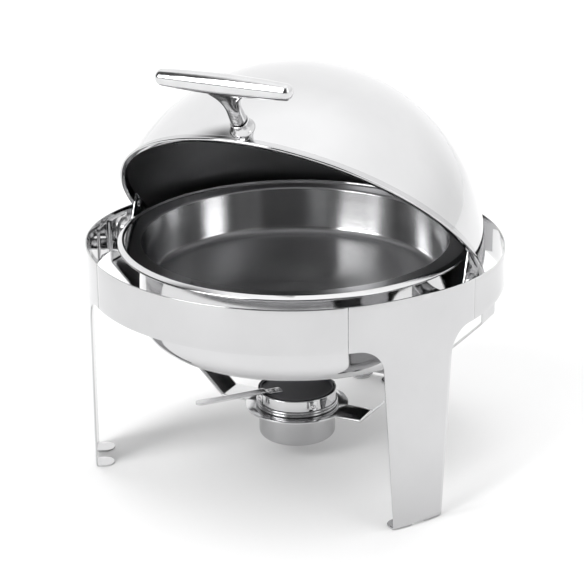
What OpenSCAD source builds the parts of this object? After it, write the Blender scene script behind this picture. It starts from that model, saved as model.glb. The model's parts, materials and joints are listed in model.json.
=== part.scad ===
// Round roll-top chafing dish: ring frame on three legs, water pan, lift-out food pan,
// half-dome lid that turns about the frame's side pivots, and a fuel burner on a cross strap.
// Origin: centre of the footprint on the table. +X is the right-hand pivot, -Y the front, +Z up.

/* [Ring frame] */
// Outer radius of the ring
ring_r = 230; // [226:1:240]
// Sheet thickness of the ring and legs
sheet = 1.6; // [1.2:0.1:2]
// Height of the ring's bottom edge
ring_bottom = 209; // [205:1:212]
// Height of the ring's top edge at the front
ring_top = 259; // [257:1:262]
// Height of the ring's top edge at the back
rear_top = 250; // [249:1:255]
// Half the angle that one leg plate spans
leg_span = 20.5; // [18:0.5:22]
// Half width of a leg just under the ring
leg_top_half = 43; // [38:1:48]
// Half width of a leg at the floor
leg_foot_half = 31; // [28:1:36]
// Radius of the fillet between leg and ring
leg_fillet = 28; // [20:1:32]
// Length of a foot tab, turned inwards
tab_length = 22; // [16:1:28]

/* [Pans] */
// Outer radius of both rims
rim_r = 195; // [190:1:198]
// Height of the food pan's rim
rim_top = 260; // [258:0.5:263]
// Depth of the food pan below its rim
food_depth = 57; // [45:1:62]
// Outer radius of the water pan's wall
water_r = 172.5; // [170:0.5:176]
// Height of the water pan's bottom
water_bottom = 150; // [146:1:160]

/* [Lid] */
// Outer radius of the dome
dome_r = 208; // [206:0.5:210]
// Sheet thickness of the dome
dome_sheet = 1; // [0.8:0.1:1.4]
// Height of the rim plane above the dome's centre
dome_cut = 18.4; // [17:0.1:20]
// Height of the pivots above the table
pivot_z = 232; // [231:0.5:234]
// How far the dome's centre lies above the pivots when the lid stands as drawn
dome_rise = 9; // [8:0.5:10]
// How far the lid is open as drawn, in degrees
lid_open = 44.4; // [30:0.1:60]

/* [Handle] */
// Length of the handle's bar
bar_length = 154; // [120:2:170]
// Radius of the handle's bar near its ends
bar_r = 8.8; // [7:0.2:10]
// How much thicker the bar is in its middle, in radius
bar_swell = 2.4; // [0:0.2:3]
// Distance from the dome to the middle of the bar
bar_reach = 68; // [55:1:75]
// Angle of the handle above the lid's rim plane
handle_rise = 10.7; // [8:0.1:14]

/* [Burner] */
// Outer radius of the burner's cup
cup_r = 43; // [38:0.5:44]
// Height of the cup's bottom
cup_bottom = 20; // [15:1:25]
// Height of the cross strap's top face
strap_z = 57; // [50:1:60]
// Width of the cross strap
strap_w = 35; // [28:1:36]
// Length of the cover's lever, from the cup's axis
lever_reach = 122; // [90:1:124]
// Direction of the lever, from the front towards the left
lever_angle = 40; // [35:1:60]

/* [Hidden] */
$fn = 96;
steel = [0.80, 0.80, 0.81];
satin = [0.62, 0.62, 0.63];
eps = 0.01;
wide = 600;

ring_inner = ring_r - sheet;
leg_angles = [-60, 60, 180];
seam_gap = 0.06;
seam_angles = [for (a = leg_angles, s = [-1, 1]) a + s * leg_span];
strap_t = 2;

// Where the top edge starts and stops sloping down, measured along Y
slope_from = -115;
slope_to = 60;

// Stack of parts on each side, measured along X from the middle of the frame
stack_strap = ring_inner - 2;
stack_plate = stack_strap - 2;
stack_flange = stack_plate - 5;
stack_boss = 209;
ear_inner = 202.6;
ear_outer = 204.2;
washer_inner = 204.6;
bolt_r = 5;
bolt_head_r = 8;
running = 0.05;
shelf_z = 211;
bracket_half = 17;

// The dome's centre from the pivots, with the lid closed
dome_y = -dome_rise * sin(lid_open);
dome_z = dome_rise * cos(lid_open);
dome_inner = dome_r - dome_sheet;
hem_h = 8.5;
hem_inner = 204.4;
bead_out = 210.5;
bead_rise = 3.5;
foot_h = 12;
web_half = 6.5;

// Food pan profile: radii of the wall and heights of the steps
pan_sheet = 1;
wall_top = rim_r - 26.5;
wall_foot = wall_top - 5;
flange_z = rim_top - 3;
food_floor = rim_top - food_depth;
floor_fillet = 10;
lip_drop = 6;
rim_slope = 4;
water_rim_r = rim_r - 3;
water_rim_top = flange_z - pan_sheet - 0.4;
water_corner = 21;

// Burner heights
strap_plate_r = 58;
bead_h = 3.2;
bead_r = cup_r + 3.2;
ring_low = strap_z + 2 * bead_h + 0.4;
ring_high = 76;
ring_out = cup_r + 1.4;
cover_z = 73.6;
cover_r = cup_r - 1.6;
clip_angles = [50, 140, 230, 320];
clip_z = 69;
strap_bend = 87;
strap_slope = 45;

// ---- helpers ----

// Points along an arc, from one angle to another
function arc(x, y, r, from, to, steps = 8) =
    [for (i = [0:steps]) let (a = from + (to - from) * i / steps) [x + r * cos(a), y + r * sin(a)]];

// Turns to a direction counted from the front towards the right, with +X pointing outwards
module facing(angle) {
    rotate([0, 0, angle - 90]) children();
}

module wall_ring(outer, inner, low, high) {
    translate([0, 0, low]) difference() {
        cylinder(r = outer, h = high - low);
        translate([0, 0, -1]) cylinder(r = inner, h = high - low + 2);
    }
}

// The stretch of a ring between two directions less than 180 degrees apart
module sector(from, to, low, high) {
    far = 2 * ring_r;
    middle = (from + to) / 2;
    translate([0, 0, low]) linear_extrude(height = high - low)
        polygon([[0, 0], [far * sin(from), -far * cos(from)],
                 [far * sin(middle), -far * cos(middle)], [far * sin(to), -far * cos(to)]]);
}

// Everything above the ring's top edge, which slopes down from front to back
module above_ring() {
    translate([-wide / 2, 0, 0]) rotate([90, 0, 90]) linear_extrude(height = wide)
        polygon([[-wide, ring_top], [slope_from, ring_top], [slope_to, rear_top],
                 [wide, rear_top], [wide, wide], [-wide, wide]]);
}

module band(from, to) {
    color(steel) difference() {
        intersection() {
            wall_ring(ring_r, ring_inner, ring_bottom, ring_top + 1);
            sector(from + seam_gap, to - seam_gap, ring_bottom - 1, ring_top + 2);
        }
        above_ring();
    }
}

// A thing on the left-hand side is the mirror image of the one on the right
module side(s) {
    mirror([s < 0 ? 1 : 0, 0, 0]) children();
}

module along_x(x, y = 0, z = pivot_z) {
    translate([x, y, z]) rotate([0, 90, 0]) children();
}

// ---- ring frame ----

module leg_outline() {
    straight_top = ring_bottom - leg_fillet;
    polygon([[-leg_foot_half, 0], [leg_foot_half, 0], [leg_top_half, straight_top],
             [leg_top_half, ring_bottom + 1], [-leg_top_half, ring_bottom + 1],
             [-leg_top_half, straight_top]]);
    for (s = [-1, 1]) difference() {
        translate([s * (leg_top_half + leg_fillet / 2 - 0.5), ring_bottom - leg_fillet / 2 + 0.5])
            square([leg_fillet + 1, leg_fillet + 1], center = true);
        translate([s * (leg_top_half + leg_fillet), straight_top]) circle(r = leg_fillet);
    }
}

module foot_tab(s) {
    tab_half = (leg_foot_half - 8.5) / 2;
    middle = s * (8.5 + tab_half);
    tip = ring_r - tab_length;
    linear_extrude(height = strap_t) {
        translate([tip + tab_half, middle]) circle(r = tab_half);
        translate([tip + tab_half, middle - tab_half]) square([tab_length, 2 * tab_half]);
    }
}

module leg(angle) {
    half = leg_span - seam_gap;
    color(steel) difference() {
        facing(angle) intersection() {
            cylinder(r = ring_r, h = ring_top + 1);
            union() {
                difference() {
                    union() {
                        rotate([90, 0, 90]) linear_extrude(height = ring_r + 1) leg_outline();
                        rotate([0, 0, 90]) sector(-half, half, ring_bottom, ring_top + 1);
                    }
                    translate([0, 0, -1]) cylinder(r = ring_inner, h = wide);
                }
                for (s = [-1, 1]) foot_tab(s);
            }
        }
        above_ring();
    }
}

module band_front() {
    band(-60 + leg_span, 60 - leg_span);
}

module band_rear_right() {
    band(60 + leg_span, 180 - leg_span);
}

module band_rear_left() {
    band(-180 + leg_span, -60 - leg_span);
}

// Short straps behind the six seams, spot welded to the plates on both sides
module seam_straps() {
    for (a = seam_angles) color(steel) intersection() {
        wall_ring(ring_inner, ring_inner - sheet, ring_bottom + 3, rear_top - 3);
        sector(a - 3, a + 3, ring_bottom, rear_top);
    }
}

// ---- pans ----

module water_pan() {
    low = water_bottom;
    corner_x = water_r - water_corner;
    corner_z = low + water_corner;
    t = pan_sheet;
    color(steel) rotate_extrude() polygon(concat(
        [[0, low]], arc(corner_x, corner_z, water_corner, -90, 0),
        [[water_r, water_rim_top - t], [water_rim_r, water_rim_top - t],
         [water_rim_r, water_rim_top], [water_r - t, water_rim_top]],
        arc(corner_x, corner_z, water_corner - t, 0, -90), [[0, low + t]]));
}

// A disc whose lower edge is rounded with the given corner radius
module rounded_bottom(r, low, corner) {
    translate([0, 0, low]) {
        cylinder(r = r - corner, h = corner);
        rotate_extrude() translate([r - corner, corner]) intersection() {
            circle(r = corner);
            translate([-eps, -corner]) square([corner + eps, corner]);
        }
    }
}

module food_pan() {
    step_r = rim_r - 6;
    corner_x = wall_foot - floor_fillet;
    corner_z = food_floor + floor_fillet;
    t = pan_sheet;
    under = 1.2 * t;
    color(satin) rotate_extrude() polygon(concat(
        [[0, food_floor - t]], arc(corner_x, corner_z, floor_fillet + t, -90, 0),
        [[wall_top + t, flange_z - t], [step_r, flange_z - t], [step_r, rim_top - under],
         [rim_r - t, rim_top - rim_slope - 0.5 * t], [rim_r - t, rim_top - lip_drop],
         [rim_r, rim_top - lip_drop], [rim_r, rim_top - rim_slope], [step_r, rim_top],
         [step_r - t, rim_top], [step_r - t, flange_z], [wall_top, flange_z]],
        arc(corner_x, corner_z, floor_fillet, 0, -90), [[0, food_floor]]));
}

// Shelf and wall plate that carry the water pan beside a pivot
module pan_bracket(s) {
    color(steel) side(s) difference() {
        union() {
            translate([water_r - 5, -bracket_half, shelf_z])
                cube([stack_strap - water_r + 5, 2 * bracket_half, strap_t]);
            translate([stack_plate, -bracket_half, shelf_z])
                cube([2, 2 * bracket_half, rear_top - 3 - shelf_z]);
        }
        cylinder(r = water_r, h = wide);
        along_x(stack_plate - 1) cylinder(r = bolt_r, h = 4);
    }
}

// ---- lid pivots ----

module pivot_boss(s) {
    color(steel) side(s) difference() {
        union() {
            along_x(stack_flange) cylinder(r = 15, h = stack_plate - stack_flange);
            along_x(stack_boss) cylinder(r = 10, h = stack_plate - stack_boss);
        }
        along_x(stack_boss - 1) cylinder(r = bolt_r, h = 30);
    }
}

module pivot_bolt(s) {
    head = 4;
    color(steel) side(s) {
        along_x(ear_inner - 0.3) cylinder(r = bolt_r, h = ring_inner - 1 - ear_inner);
        along_x(ear_inner - 0.3 - head) cylinder(r = bolt_head_r, h = head);
    }
}

module pivot_washers() {
    for (s = [-1, 1]) color(steel) side(s) difference() {
        along_x(washer_inner) cylinder(r = 12.5, h = stack_boss - washer_inner);
        along_x(washer_inner - 1) cylinder(r = bolt_r, h = 10);
    }
}

// ---- burner strap ----

module burner_strap() {
    foot_x = stack_strap - 1;
    rise = (foot_x - strap_bend) * tan(strap_slope);
    tab_low = strap_z - strap_t + rise;
    run = strap_t / sin(strap_slope);
    color(steel) difference() {
        union() {
            translate([0, 0, strap_z - strap_t]) cylinder(r = strap_plate_r, h = strap_t);
            translate([-strap_bend, -strap_w / 2, strap_z - strap_t])
                cube([2 * strap_bend, strap_w, strap_t]);
            for (s = [-1, 1]) side(s) {
                translate([0, strap_w / 2, 0]) rotate([90, 0, 0]) linear_extrude(height = strap_w)
                    polygon([[strap_bend - 2, strap_z - strap_t], [strap_bend, strap_z - strap_t],
                             [foot_x, tab_low], [foot_x, tab_low + run],
                             [strap_bend - 1, strap_z], [strap_bend - 2, strap_z]]);
                intersection() {
                    translate([stack_strap, -strap_w / 2, tab_low])
                        cube([5, strap_w, rear_top - 3 - tab_low]);
                    cylinder(r = ring_inner, h = wide);
                }
                translate([foot_x - eps, -strap_w / 2, tab_low])
                    cube([2, strap_w, run]);
            }
        }
        translate([0, 0, strap_z - strap_t - 1]) cylinder(r = cup_r + 0.6, h = strap_t + 2);
        for (s = [-1, 1]) side(s) along_x(stack_strap - 1) cylinder(r = bolt_r, h = 5);
    }
}

// ---- lid, drawn closed about the pivots and then turned to where it stands ----

module lid_place() {
    translate([0, 0, pivot_z]) rotate([-lid_open, 0, 0]) children();
}

module dome_place() {
    lid_place() translate([0, dome_y, dome_z]) children();
}

// Everything above the rim plane, counted from the dome's centre
module above(low) {
    translate([-wide / 2, -wide / 2, low]) cube([wide, wide, wide]);
}

module lid_dome() {
    color(steel) dome_place() difference() {
        intersection() {
            sphere(r = dome_r);
            above(dome_cut + hem_h);
        }
        sphere(r = dome_inner);
        handle_axis() cylinder(r = 3.2, h = wide);
    }
}

// Radius of the dome's outer face at a height above its centre
function dome_at(h) = sqrt(dome_r * dome_r - h * h);

// The hem stiffens the dome's edge and ends in a bead that stands out all round
module lid_rim() {
    top = dome_cut + hem_h;
    bead = dome_cut + bead_rise;
    color(steel) dome_place() rotate_extrude()
        polygon([[hem_inner, dome_cut], [bead_out, dome_cut], [bead_out, bead],
                 [dome_at(bead), bead], [dome_at(top), top], [hem_inner, top]]);
}

module ear(s) {
    up = dome_cut + 10;
    color(steel) side(s) lid_place() difference() {
        translate([ear_inner, 0, 0]) rotate([90, 0, 90]) linear_extrude(height = ear_outer - ear_inner) {
            circle(r = 14);
            polygon([[-14, 0], [14, 0], [dome_y + 27, dome_z + up], [dome_y - 23, dome_z + up]]);
        }
        translate([0, dome_y, dome_z]) wall_ring(wide, hem_inner - 0.02, dome_cut - 0.1, 2 * dome_cut);
        along_x(ear_inner - 1, 0, 0) cylinder(r = bolt_r + running, h = 5);
        for (v = [-1, 1]) along_x(ear_inner - 1, dome_y + v * 11 + 2, dome_z + dome_cut + 4)
            cylinder(r = 2, h = 5);
    }
}

module ear_rivets() {
    for (s = [-1, 1], v = [-1, 1]) color(steel) side(s) lid_place()
        translate([0, dome_y + v * 11 + 2, dome_z + dome_cut + 4]) rotate([0, 90, 0]) {
            translate([0, 0, ear_inner - 1.4]) cylinder(r1 = 2.6, r2 = 4, h = 1.4);
            translate([0, 0, ear_inner - eps]) cylinder(r = 2, h = 1);
        }
}

// Points +Z straight out of the dome, through the handle
module handle_axis() {
    rotate([90 - handle_rise, 0, 0]) children();
}

module handle_place() {
    dome_place() handle_axis() children();
}

module handle_foot() {
    base = 13.8;
    neck = 10;
    bore = 3.2;
    top = dome_r + foot_h;
    seat = [for (i = [0:8]) let (r = bore + (base - bore) * i / 8) [r, dome_at(r) + 0.02]];
    color(steel) handle_place() rotate_extrude()
        polygon(concat(seat, [[neck + 0.8, top - 6], [neck, top - 2.5], [neck, top], [bore, top]]));
}

// The web between neck and bar: its sides sweep out to the bar in two arcs
module handle_web(low, bar_z) {
    sweep = 34;
    neck = 8.4;
    rotate([90, 0, 0]) linear_extrude(height = 2 * web_half, center = true) difference() {
        translate([-neck - sweep, low]) square([2 * (neck + sweep), bar_z - low]);
        for (s = [-1, 1]) {
            translate([s * (neck + sweep), bar_z - bar_r - sweep + 1]) circle(r = sweep);
            translate([s * (neck + sweep / 2 + 0.5) - sweep / 2 - 0.5, low - 1])
                square([sweep + 1, bar_z - bar_r - sweep + 2 - low]);
        }
    }
}

// Half the outline of the bar, which swells towards its middle and has a rounded nose
module bar_outline() {
    nose = 7;
    body = bar_length / 2 - nose;
    polygon(concat(
        [for (a = [0:18:72]) [bar_r * sin(a), -body - nose * cos(a)]],
        [for (i = [-8:8]) [bar_r + bar_swell * (1 - i * i / 64), body * i / 8]],
        [for (a = [72:-18:0]) [bar_r * sin(a), body + nose * cos(a)]]));
}

module handle_grip() {
    low = dome_r + foot_h;
    bar_z = dome_r + bar_reach;
    color(steel) handle_place() difference() {
        union() {
            translate([0, 0, bar_z]) rotate([0, 90, 0]) rotate_extrude() bar_outline();
            translate([0, 0, low]) cylinder(r = 8.4, h = bar_reach - foot_h);
            handle_web(low + 10, bar_z);
        }
        translate([0, 0, low - 1]) cylinder(r = 3, h = 17);
    }
}

module handle_screw() {
    color(steel) handle_place() {
        translate([0, 0, dome_inner - 1]) cylinder(r = 3, h = foot_h + dome_sheet + 15);
        translate([0, 0, dome_inner - 4.2]) cylinder(r = 7, h = 4);
    }
}

// ---- burner ----

module burner_cup() {
    corner = 6;
    wall = 1;
    color(satin) difference() {
        union() {
            rounded_bottom(cup_r, cup_bottom, corner);
            translate([0, 0, cup_bottom + corner])
                cylinder(r = cup_r, h = ring_low - cup_bottom - corner);
            for (k = [0, 1]) translate([0, 0, strap_z + (k + 0.5) * bead_h])
                rotate_extrude() translate([bead_r - bead_h / 2, 0]) circle(d = bead_h);
            translate([0, 0, strap_z]) cylinder(r = bead_r - bead_h / 2, h = 2 * bead_h);
        }
        rounded_bottom(cup_r - wall, cup_bottom + wall, corner - wall);
        translate([0, 0, cup_bottom + corner - eps]) cylinder(r = cup_r - wall, h = wide);
    }
}

module burner_ring() {
    color(steel) {
        wall_ring(ring_out, ring_out - 1, ring_low, ring_high);
        wall_ring(ring_out - 1 + eps, cup_r - 4, cover_z - 1, cover_z);
    }
}

module burner_clips() {
    for (a = clip_angles) color(steel) facing(a) difference() {
        intersection() {
            wall_ring(ring_out + 1, ring_out, strap_z + bead_h, ring_high - 1);
            rotate([90, 0, 90]) linear_extrude(height = 60) {
                translate([-5, clip_z - 5]) square([10, ring_high - clip_z + 4]);
                translate([-3, ring_low + 0.2]) square([6, 12]);
            }
        }
        along_x(cup_r, 0, clip_z) cylinder(r = 1.5, h = 5);
    }
}

module clip_rivets() {
    for (a = clip_angles) color(steel) facing(a) {
        along_x(ring_out + 1, 0, clip_z) cylinder(r1 = 2.6, r2 = 1.8, h = 1.2);
        along_x(ring_out + 0.3, 0, clip_z) cylinder(r = 1.5, h = 0.8);
    }
}

module burner_cover() {
    color(satin) difference() {
        translate([0, 0, cover_z]) cylinder(r = cover_r, h = 3);
        translate([0, 0, cover_z + 1.2]) cylinder(r = cover_r - 1.2, h = 5);
        for (r = rivet_reach) lever_spot(r) translate([0, 0, cover_z - 1]) cylinder(r = 1.4, h = 5);
    }
}

rivet_reach = [24.5, 31.5];
lever_low = cover_z + 1.2;
lever_high = ring_high + 1;
lever_t = 1.6;

module lever_spot(r) {
    facing(-lever_angle) translate([r, 0, 0]) children();
}

module cover_lever() {
    lever_half = 6;
    color(steel) facing(-lever_angle) difference() {
        intersection() {
            translate([0, lever_half, 0]) rotate([90, 0, 0]) linear_extrude(height = 2 * lever_half)
                polygon([[20, lever_low], [36, lever_low], [39, lever_high], [lever_reach, lever_high],
                         [lever_reach, lever_high + lever_t], [38.2, lever_high + lever_t],
                         [35.2, lever_low + lever_t], [20, lever_low + lever_t]]);
            linear_extrude(height = wide) {
                translate([20, -lever_half]) square([lever_reach - 20 - lever_half, 2 * lever_half]);
                translate([lever_reach - lever_half, 0]) circle(r = lever_half);
            }
        }
        for (r = rivet_reach) translate([r, 0, lever_low - 1]) cylinder(r = 1.4, h = 5);
    }
}

module lever_rivets() {
    for (r = rivet_reach) color(steel) lever_spot(r) {
        translate([0, 0, cover_z]) cylinder(r = 1.4, h = lever_low + lever_t - cover_z + 0.4);
        translate([0, 0, lever_low + lever_t]) cylinder(r1 = 2.8, r2 = 2, h = 1.2);
    }
}

band_front();
band_rear_left();
band_rear_right();
leg(leg_angles[0]);  // leg_front_left
leg(leg_angles[1]);  // leg_front_right
leg(leg_angles[2]);  // leg_rear
seam_straps();
water_pan();
pan_bracket(-1);  // pan_bracket_left
pan_bracket(1);  // pan_bracket_right
pivot_boss(-1);  // pivot_boss_left
pivot_boss(1);  // pivot_boss_right
pivot_bolt(-1);  // pivot_bolt_left
pivot_bolt(1);  // pivot_bolt_right
pivot_washers();
burner_strap();
food_pan();
lid_dome();
lid_rim();
ear(-1);  // ear_left
ear(1);  // ear_right
ear_rivets();
handle_foot();
handle_grip();
handle_screw();
burner_cup();
burner_ring();
burner_clips();
clip_rivets();
burner_cover();
cover_lever();
lever_rivets();
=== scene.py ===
"""Roll-top chafing dish: pressed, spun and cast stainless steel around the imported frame."""
import json
import math

import bmesh
import bpy
from mathutils import Matrix, Vector


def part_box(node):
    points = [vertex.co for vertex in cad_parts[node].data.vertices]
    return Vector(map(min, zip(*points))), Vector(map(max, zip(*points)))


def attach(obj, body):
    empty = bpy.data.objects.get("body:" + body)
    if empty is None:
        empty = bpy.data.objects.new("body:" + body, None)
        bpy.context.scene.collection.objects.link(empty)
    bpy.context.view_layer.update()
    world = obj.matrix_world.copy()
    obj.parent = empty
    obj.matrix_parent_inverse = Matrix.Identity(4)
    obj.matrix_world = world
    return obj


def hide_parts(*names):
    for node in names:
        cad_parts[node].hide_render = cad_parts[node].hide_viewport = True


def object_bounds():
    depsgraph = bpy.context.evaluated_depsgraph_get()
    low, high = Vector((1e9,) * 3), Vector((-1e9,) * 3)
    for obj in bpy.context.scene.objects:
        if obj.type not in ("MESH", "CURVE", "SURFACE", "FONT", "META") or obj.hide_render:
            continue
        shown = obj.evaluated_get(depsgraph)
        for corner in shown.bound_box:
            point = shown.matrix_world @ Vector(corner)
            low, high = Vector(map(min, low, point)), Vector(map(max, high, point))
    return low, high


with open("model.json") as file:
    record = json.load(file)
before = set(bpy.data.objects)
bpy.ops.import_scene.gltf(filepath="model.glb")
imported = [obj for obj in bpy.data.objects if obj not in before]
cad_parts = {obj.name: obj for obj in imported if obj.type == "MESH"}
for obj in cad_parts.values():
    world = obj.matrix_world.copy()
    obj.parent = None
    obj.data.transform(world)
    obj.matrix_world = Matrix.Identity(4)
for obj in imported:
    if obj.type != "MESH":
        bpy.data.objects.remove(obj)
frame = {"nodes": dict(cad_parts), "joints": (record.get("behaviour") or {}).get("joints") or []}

cad_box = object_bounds()
MM = 0.001
TAU = 2 * math.pi
# a point nearer the axis than this lies on it
ON_AXIS = 1e-6


def low(node):
    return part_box(node)[0]


def high(node):
    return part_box(node)[1]


# ---- measurements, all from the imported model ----

lid_joint = next(j for j in frame["joints"] if j["name"] == "lid_turn")
LID_OPEN = math.radians(-lid_joint["range_deg"][0])
PIVOT = Vector(lid_joint["pos_m"])
RING_R = high("leg_rear").y
SHEET = 1.6 * MM
PAN_SHEET = 1 * MM
DOME_SHEET = 1 * MM
STRAP_SHEET = 2 * MM
FRONT_TOP = high("band_front").z
REAR_TOP = high("leg_rear").z
RING_LOW = low("band_front").z
DOME_R = 208 * MM
DOME_C = Vector((0, high("lid_dome").y - DOME_R, high("lid_dome").z - DOME_R))
RIM_TOP = high("food_pan").z
RIM_R = high("food_pan").x
PAN_LOW = low("food_pan").z
WATER_LOW = low("water_pan").z
WATER_TOP = high("water_pan").z
WATER_RIM = high("water_pan").x
CUP_LOW = low("burner_cup").z
CUP_TOP = high("burner_cup").z
RING_TOP = high("burner_ring").z
COVER_Z = low("burner_cover").z
STRAP_LOW = low("burner_strap").z
LEVER_TOP = high("cover_lever").z


# ---- mesh helpers ----

def link(name, me):
    obj = bpy.data.objects.new(name, me)
    bpy.context.scene.collection.objects.link(obj)
    return obj


def shaded(obj, degrees=32):
    """Smooth shading, broken at edges sharper than the angle."""
    me = obj.data
    me.polygons.foreach_set("use_smooth", [True] * len(me.polygons))
    me.set_sharp_from_angle(angle=math.radians(degrees))
    return obj


def applied(obj):
    """The object with its modifiers made into plain mesh."""
    graph = bpy.context.evaluated_depsgraph_get()
    me = bpy.data.meshes.new_from_object(obj.evaluated_get(graph))
    obj.modifiers.clear()
    obj.data = me
    return obj


def edged(obj, width=0.35 * MM, degrees=35, segments=2):
    """Rounds the sharp edges a little, as a deburred sheet edge is."""
    mod = obj.modifiers.new("edge", "BEVEL")
    mod.width = width
    mod.segments = segments
    mod.limit_method = "ANGLE"
    mod.angle_limit = math.radians(degrees)
    mod.use_clamp_overlap = True
    mod.harden_normals = False
    return shaded(applied(obj), 38)


def thickened(obj, thick):
    """Gives an open sheet its thickness, behind the face it was drawn on."""
    mod = obj.modifiers.new("sheet", "SOLIDIFY")
    mod.thickness = thick
    mod.offset = -1
    mod.use_even_offset = True
    return applied(obj)


def mesh_of(name, verts, faces, outward=True):
    me = bpy.data.meshes.new(name)
    me.from_pydata([tuple(v) for v in verts], [], faces)
    if outward:
        bm = bmesh.new()
        bm.from_mesh(me)
        bmesh.ops.remove_doubles(bm, verts=bm.verts, dist=1e-7)
        bmesh.ops.recalc_face_normals(bm, faces=bm.faces)
        bm.to_mesh(me)
        bm.free()
    return link(name, me)


def grid(name, rows, outward=False):
    """A sheet through rows of points, all of one length."""
    n = len(rows[0])
    verts = [p for row in rows for p in row]
    faces = [(i * n + j, i * n + j + 1, (i + 1) * n + j + 1, (i + 1) * n + j)
             for i in range(len(rows) - 1) for j in range(n - 1)]
    return mesh_of(name, verts, faces, outward)


def joined(name, objs):
    bm = bmesh.new()
    for o in objs:
        o.data.transform(o.matrix_world)
        bm.from_mesh(o.data)
        me = o.data
        bpy.data.objects.remove(o)
        bpy.data.meshes.remove(me)
    out = bpy.data.meshes.new(name)
    bm.to_mesh(out)
    bm.free()
    return link(name, out)


def rounded(path, radii, steps=6):
    """A 2-D path whose inner corners are arcs. radii is one number or one for each corner."""
    out = [Vector(path[0])]
    for i in range(1, len(path) - 1):
        a, b, c = Vector(path[i - 1]), Vector(path[i]), Vector(path[i + 1])
        r = radii if isinstance(radii, (int, float)) else radii[i - 1]
        u, v = (a - b).normalized(), (c - b).normalized()
        turn = u.angle(v)
        if r <= 0 or abs(turn - math.pi) < 1e-3:
            out.append(b)
            continue
        reach = min(r / math.tan(turn / 2), 0.499 * (a - b).length, 0.499 * (c - b).length)
        r = reach * math.tan(turn / 2)
        centre = b + (u + v).normalized() * (r / math.sin(turn / 2))
        p, q = b + u * reach - centre, b + v * reach - centre
        for k in range(steps + 1):
            w = p.lerp(q, k / steps)
            out.append(centre + w.normalized() * r)
    out.append(Vector(path[-1]))
    return out


def arc2(x, y, r, start, end, steps=10):
    """Points on an arc, by angle in degrees."""
    out = []
    for k in range(steps + 1):
        a = math.radians(start + (end - start) * k / steps)
        out.append(Vector((x + r * math.cos(a), y + r * math.sin(a))))
    return out


def end_round(a, b, fore, steps):
    """The half round from a to b that closes a sheet's edge and bulges along fore."""
    mid, half = (a + b) / 2, (a - b).length / 2
    out = (a - b).normalized()
    turns = [math.pi * k / (steps + 1) for k in range(1, steps + 1)]
    return [mid + (out * math.cos(t) + fore * math.sin(t)) * half for t in turns]


def pressed(path, thick, ends=3):
    """The closed section of a sheet that lies to the left of its path, with rounded ends."""
    n = len(path)
    inner = []
    for i, p in enumerate(path):
        a = path[max(i - 1, 0)]
        c = path[min(i + 1, n - 1)]
        d1, d2 = (p - a), (c - p)
        d1 = d1.normalized() if d1.length else d2.normalized()
        d2 = d2.normalized() if d2.length else d1
        side = (Vector((-d1.y, d1.x)) + Vector((-d2.y, d2.x))).normalized()
        scale = 1 / max(0.5, side.dot(Vector((-d1.y, d1.x))))
        inner.append(p + side * thick * scale)
        if p.x < ON_AXIS:
            inner[-1] = Vector((0, inner[-1].y))
    section = list(path)
    if path[-1].x > ON_AXIS:
        section += end_round(path[-1], inner[-1], (path[-1] - path[-2]).normalized(), ends)
    section += inner[::-1]
    if path[0].x > ON_AXIS:
        section += end_round(inner[0], path[0], (path[0] - path[1]).normalized(), ends)
    return section


def lathe(name, section, segments=192, place=None, sharp=40, shape=None):
    """Turns a closed section of (radius, height) about Z. shape(i, angle) scales the radius of
    section point i, for sockets and slots."""
    verts, rings = [], []
    for i, p in enumerate(section):
        if abs(p.x) < ON_AXIS:
            rings.append([len(verts)])
            verts.append(Vector((0, 0, p.y)))
            continue
        ring = []
        for k in range(segments):
            a = TAU * k / segments
            r = p.x * (shape(i, a) if shape else 1)
            ring.append(len(verts))
            verts.append(Vector((r * math.cos(a), r * math.sin(a), p.y)))
        rings.append(ring)
    faces = []
    for i, a in enumerate(rings):
        b = rings[(i + 1) % len(rings)]
        if len(a) == 1 and len(b) == 1:
            continue
        for k in range(segments):
            m = (k + 1) % segments
            if len(a) == 1:
                faces.append((a[0], b[k], b[m]))
            elif len(b) == 1:
                faces.append((a[k], b[0], a[m]))
            else:
                faces.append((a[k], b[k], b[m], a[m]))
    obj = mesh_of(name, verts, faces)
    if place is not None:
        obj.data.transform(place)
    return shaded(obj, sharp)


def refined(name, node, width=0.4 * MM):
    """A CAD node's own shape with clean faces and softly rounded edges."""
    me = frame["nodes"][node].data.copy()
    me.materials.clear()
    me.name = name
    bm = bmesh.new()
    bm.from_mesh(me)
    bmesh.ops.remove_doubles(bm, verts=bm.verts, dist=2e-6)
    bmesh.ops.dissolve_limit(bm, angle_limit=math.radians(1.5), verts=bm.verts, edges=bm.edges)
    bmesh.ops.recalc_face_normals(bm, faces=bm.faces)
    bm.to_mesh(me)
    bm.free()
    for layer in list(me.uv_layers):
        me.uv_layers.remove(layer)
    return edged(link(name, me), width, 40)


def islands(node):
    """The (lowest, highest) corners of each separate solid in a CAD node."""
    bm = bmesh.new()
    bm.from_mesh(frame["nodes"][node].data)
    bmesh.ops.remove_doubles(bm, verts=bm.verts, dist=2e-6)
    seen, out = set(), []
    for start in bm.verts:
        if start in seen:
            continue
        stack, found = [start], []
        seen.add(start)
        while stack:
            v = stack.pop()
            found.append(v.co.copy())
            for e in v.link_edges:
                w = e.other_vert(v)
                if w not in seen:
                    seen.add(w)
                    stack.append(w)
        out.append((Vector([min(p[k] for p in found) for k in range(3)]),
                    Vector([max(p[k] for p in found) for k in range(3)])))
    bm.free()
    return out


def facing(origin, direction):
    """A matrix that stands at origin with its Z along direction."""
    turn = Vector((0, 0, 1)).rotation_difference(Vector(direction).normalized())
    return Matrix.Translation(origin) @ turn.to_matrix().to_4x4()


# ---- materials ----

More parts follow.
